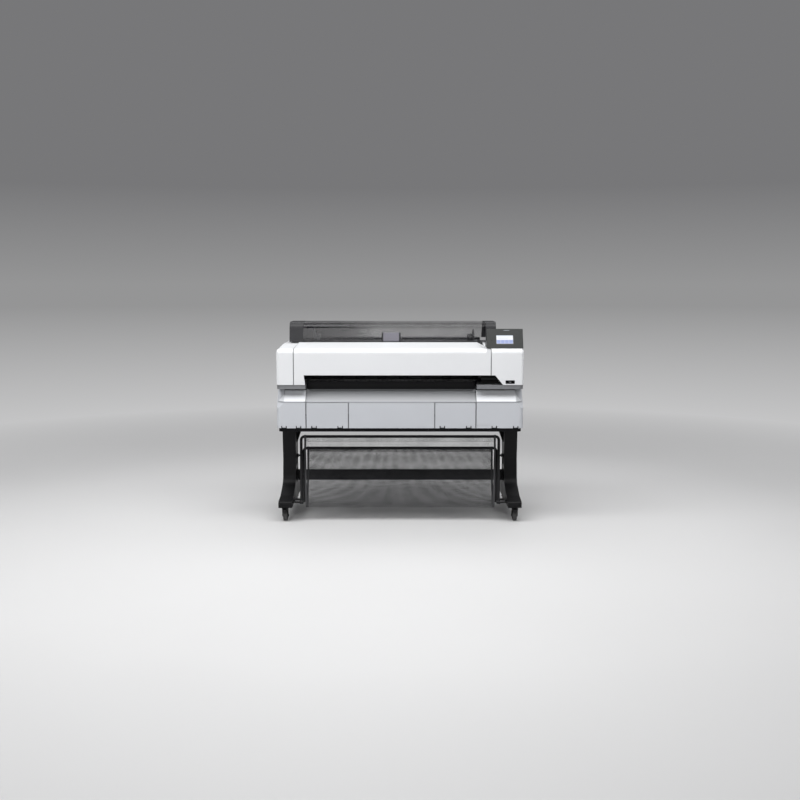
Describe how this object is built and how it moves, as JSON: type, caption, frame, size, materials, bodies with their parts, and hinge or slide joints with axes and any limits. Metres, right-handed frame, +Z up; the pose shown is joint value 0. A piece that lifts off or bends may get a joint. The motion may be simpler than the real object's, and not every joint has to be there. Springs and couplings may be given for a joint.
{
  "type": "large format printer",
  "caption": "Wide roll-fed inkjet printer with lift-up hood, smoked roll lid, fold-down front panels, sliding carriage and wheeled stand with a catch basket.",
  "frame": {"origin": "on the floor under the middle of the machine's outer box", "axes": "+X to the right seen from the front, +Y to the back, +Z up"},
  "size_m": [1.385, 0.684, 1.124],
  "materials": {
    "white_plastic": "satin moulded",
    "grey_plastic": "fine moulded texture",
    "trim_grey": "satin moulded",
    "dark_plastic": "fine texture",
    "smoked_plastic": "clear smoked",
    "panel_plastic": "satin",
    "screen_glass": "gloss display",
    "sheet_steel": "zinc plated",
    "turned_steel": "ground",
    "black_paint": "satin powder coat",
    "tube_paint": "satin powder coat",
    "rubber": "matt",
    "caster_rubber": "matt",
    "mesh_cloth": "knitted mesh",
    "ink_shell_1": "satin",
    "ink_shell_2": "satin",
    "ink_shell_3": "satin",
    "ink_shell_4": "satin",
    "fasteners": "black oxide"
  },
  "bodies": {
    "chassis": {"base_pan": "dark_plastic", "side_frames": "sheet_steel", "side_cover_left": "white_plastic", "side_cover_right": "white_plastic", "lower_side_panels": "grey_plastic", "front_panel": "grey_plastic", "trim_bands": "trim_grey", "rear_cover": "grey_plastic", "mains_inlet": "dark_plastic", "roll_tray": "dark_plastic", "spindle_holders": "dark_plastic", "platen": "dark_plastic", "pinch_arms": "sheet_steel", "carriage_rail": "sheet_steel", "carriage_belt": "rubber", "carriage_motor": "sheet_steel", "capping_station": "dark_plastic", "cartridge_bay": "dark_plastic", "control_panel": "panel_plastic", "lcd_screen": "screen_glass", "leg_left": "black_paint", "leg_right": "black_paint", "crossbeam": "black_paint", "knee_braces": "black_paint", "stand_bolts": "fasteners", "basket_rear_frame": "tube_paint", "basket_cloth_rear": "mesh_cloth"},
    "front_cover": {"front_cover": "white_plastic"},
    "roll_cover": {"roll_cover_frame": "dark_plastic", "roll_cover_window": "smoked_plastic"},
    "paper_guide_left": {"paper_guide_left": "grey_plastic"},
    "paper_guide_right": {"paper_guide_right": "grey_plastic"},
    "cartridge_cover": {"cartridge_cover": "grey_plastic"},
    "maintenance_cover": {"maintenance_cover": "grey_plastic"},
    "roll_spindle": {"roll_spindle": "turned_steel"},
    "spindle_flange": {"spindle_flange": "grey_plastic"},
    "feed_roller": {"feed_roller": "rubber"},
    "pinch_rollers": {"pinch_rollers": "rubber"},
    "idler_pulley": {"idler_pulley": "dark_plastic"},
    "drive_pulley": {"drive_pulley": "turned_steel"},
    "carriage": {"carriage": "dark_plastic", "print_head": "sheet_steel"},
    "cartridge_1": {"cartridge_1": "ink_shell_1"},
    "cartridge_2": {"cartridge_2": "ink_shell_2"},
    "cartridge_3": {"cartridge_3": "ink_shell_3"},
    "cartridge_4": {"cartridge_4": "ink_shell_4"},
    "maintenance_box": {"maintenance_box": "dark_plastic"},
    "power_button": {"power_button": "panel_plastic"},
    "caster_fork_front_left": {"caster_fork_front_left": "black_paint"},
    "caster_wheel_front_left": {"caster_wheel_front_left": "caster_rubber"},
    "caster_fork_rear_left": {"caster_fork_rear_left": "black_paint"},
    "caster_wheel_rear_left": {"caster_wheel_rear_left": "caster_rubber"},
    "brake_pedal_left": {"brake_pedal_left": "dark_plastic"},
    "caster_fork_front_right": {"caster_fork_front_right": "black_paint"},
    "caster_wheel_front_right": {"caster_wheel_front_right": "caster_rubber"},
    "caster_fork_rear_right": {"caster_fork_rear_right": "black_paint"},
    "caster_wheel_rear_right": {"caster_wheel_rear_right": "caster_rubber"},
    "brake_pedal_right": {"brake_pedal_right": "dark_plastic"},
    "basket_front": {"basket_front_frame": "tube_paint", "basket_cloth_front": "mesh_cloth"}
  },
  "joints": [
    {"name": "front_cover_hinge", "type": "hinge", "parent": "chassis", "child": "front_cover", "pos_m": [-0.06, -0.036, 0.986], "axis": [-1, 0, 0], "range_deg": [0, 50]},
    {"name": "roll_cover_hinge", "type": "hinge", "parent": "chassis", "child": "roll_cover", "pos_m": [-0.0425, 0.322, 1.01], "axis": [-1, 0, 0], "range_deg": [0, 75]},
    {"name": "paper_guide_left_hinge", "type": "hinge", "parent": "chassis", "child": "paper_guide_left", "pos_m": [-0.409, -0.334, 0.547], "axis": [1, 0, 0], "range_deg": [0, 88]},
    {"name": "paper_guide_right_hinge", "type": "hinge", "parent": "chassis", "child": "paper_guide_right", "pos_m": [0.311, -0.334, 0.547], "axis": [1, 0, 0], "range_deg": [0, 88]},
    {"name": "cartridge_cover_hinge", "type": "hinge", "parent": "chassis", "child": "cartridge_cover", "pos_m": [0.555, -0.334, 0.547], "axis": [1, 0, 0], "range_deg": [0, 85]},
    {"name": "maintenance_cover_hinge", "type": "hinge", "parent": "chassis", "child": "maintenance_cover", "pos_m": [-0.611, -0.334, 0.547], "axis": [1, 0, 0], "range_deg": [0, 85]},
    {"name": "roll_spindle_turn", "type": "hinge", "parent": "chassis", "child": "roll_spindle", "pos_m": [0, 0.165, 1.02], "axis": [1, 0, 0], "continuous": true},
    {"name": "spindle_flange_slide", "type": "slide", "parent": "roll_spindle", "child": "spindle_flange", "axis": [1, 0, 0], "range_m": [0, 0.62]},
    {"name": "feed_roller_turn", "type": "hinge", "parent": "chassis", "child": "feed_roller", "pos_m": [0, -0.128, 0.785], "axis": [1, 0, 0], "continuous": true},
    {"name": "pinch_roller_turn", "type": "hinge", "parent": "chassis", "child": "pinch_rollers", "pos_m": [0, -0.128, 0.8043], "axis": [1, 0, 0], "continuous": true},
    {"name": "carriage_slide", "type": "slide", "parent": "chassis", "child": "carriage", "axis": [1, 0, 0], "range_m": [-0.995, 0]},
    {"name": "drive_pulley_turn", "type": "hinge", "parent": "chassis", "child": "drive_pulley", "pos_m": [0.566, -0.068, 0.952], "axis": [0, 1, 0], "continuous": true},
    {"name": "idler_pulley_turn", "type": "hinge", "parent": "chassis", "child": "idler_pulley", "pos_m": [-0.575, -0.068, 0.952], "axis": [0, 1, 0], "continuous": true},
    {"name": "cartridge_1_slide", "type": "slide", "parent": "chassis", "child": "cartridge_1", "axis": [0, -1, 0], "range_m": [0, 0.03]},
    {"name": "cartridge_2_slide", "type": "slide", "parent": "chassis", "child": "cartridge_2", "axis": [0, -1, 0], "range_m": [0, 0.03]},
    {"name": "cartridge_3_slide", "type": "slide", "parent": "chassis", "child": "cartridge_3", "axis": [0, -1, 0], "range_m": [0, 0.03]},
    {"name": "cartridge_4_slide", "type": "slide", "parent": "chassis", "child": "cartridge_4", "axis": [0, -1, 0], "range_m": [0, 0.03]},
    {"name": "maintenance_box_slide", "type": "slide", "parent": "chassis", "child": "maintenance_box", "axis": [0, -1, 0], "range_m": [0, 0.03]},
    {"name": "power_button_press", "type": "slide", "parent": "chassis", "child": "power_button", "axis": [0, 0.9063, -0.4226], "range_m": [0, 0.0012], "stiffness_N_per_m": 400},
    {"name": "caster_swivel_front_left", "type": "hinge", "parent": "chassis", "child": "caster_fork_front_left", "pos_m": [-0.655, -0.3, 0.09], "axis": [0, 0, 1], "continuous": true},
    {"name": "caster_roll_front_left", "type": "hinge", "parent": "caster_fork_front_left", "child": "caster_wheel_front_left", "pos_m": [-0.655, -0.28, 0.03], "axis": [1, 0, 0], "continuous": true},
    {"name": "caster_swivel_rear_left", "type": "hinge", "parent": "chassis", "child": "caster_fork_rear_left", "pos_m": [-0.655, 0.3, 0.09], "axis": [0, 0, 1], "continuous": true},
    {"name": "caster_roll_rear_left", "type": "hinge", "parent": "caster_fork_rear_left", "child": "caster_wheel_rear_left", "pos_m": [-0.655, 0.28, 0.03], "axis": [1, 0, 0], "continuous": true},
    {"name": "brake_pedal_left_hinge", "type": "hinge", "parent": "caster_fork_front_left", "child": "brake_pedal_left", "pos_m": [-0.655, -0.319, 0.0697], "axis": [1, 0, 0], "range_deg": [0, 18]},
    {"name": "caster_swivel_front_right", "type": "hinge", "parent": "chassis", "child": "caster_fork_front_right", "pos_m": [0.655, -0.3, 0.09], "axis": [0, 0, 1], "continuous": true},
    {"name": "caster_roll_front_right", "type": "hinge", "parent": "caster_fork_front_right", "child": "caster_wheel_front_right", "pos_m": [0.655, -0.28, 0.03], "axis": [1, 0, 0], "continuous": true},
    {"name": "caster_swivel_rear_right", "type": "hinge", "parent": "chassis", "child": "caster_fork_rear_right", "pos_m": [0.655, 0.3, 0.09], "axis": [0, 0, 1], "continuous": true},
    {"name": "caster_roll_rear_right", "type": "hinge", "parent": "caster_fork_rear_right", "child": "caster_wheel_rear_right", "pos_m": [0.655, 0.28, 0.03], "axis": [1, 0, 0], "continuous": true},
    {"name": "brake_pedal_right_hinge", "type": "hinge", "parent": "caster_fork_front_right", "child": "brake_pedal_right", "pos_m": [0.655, -0.319, 0.0697], "axis": [1, 0, 0], "range_deg": [0, 18]},
    {"name": "basket_front_hinge", "type": "hinge", "parent": "chassis", "child": "basket_front", "pos_m": [0, -0.293, 0.108], "axis": [1, 0, 0], "range_deg": [0, 50]}
  ],
  "couplings": [
    {"joint": "drive_pulley_turn", "follows": "carriage_slide", "rad_per_m": 100},
    {"joint": "idler_pulley_turn", "follows": "carriage_slide", "rad_per_m": 100},
    {"joint": "pinch_roller_turn", "follows": "feed_roller_turn", "ratio": -2.8}
  ]
}
